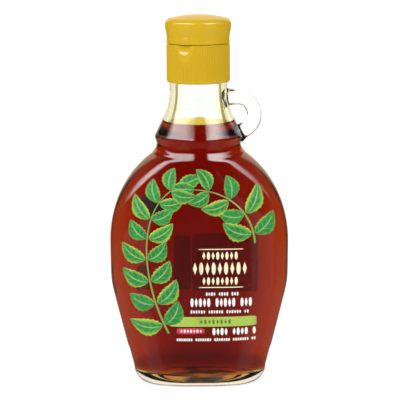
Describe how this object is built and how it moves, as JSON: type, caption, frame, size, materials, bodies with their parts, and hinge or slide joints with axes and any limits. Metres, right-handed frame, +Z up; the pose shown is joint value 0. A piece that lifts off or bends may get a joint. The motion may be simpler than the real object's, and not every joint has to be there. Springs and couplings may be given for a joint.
{
  "type": "syrup bottle",
  "caption": "Oval glass flask of amber syrup with a ring handle on its conical neck, a clear film label and a ribbed flip-top cap, shut.",
  "frame": {"origin": "middle of the flat base that the bottle stands on", "axes": "+Z up along the neck, the front label faces -Y, the ring handle is towards +X"},
  "size_m": [0.0852, 0.0462, 0.1746],
  "materials": {
    "clear_glass": "polished",
    "amber_syrup": "clear liquid",
    "gold_plastic": "satin moulded",
    "label_film": "clear printed film"
  },
  "bodies": {
    "root": {"glass_bottle": "clear_glass", "syrup": "amber_syrup", "cap_skirt": "gold_plastic", "cap_lid": "gold_plastic", "front_label": "label_film", "back_label": "label_film"}
  },
  "joints": []
}
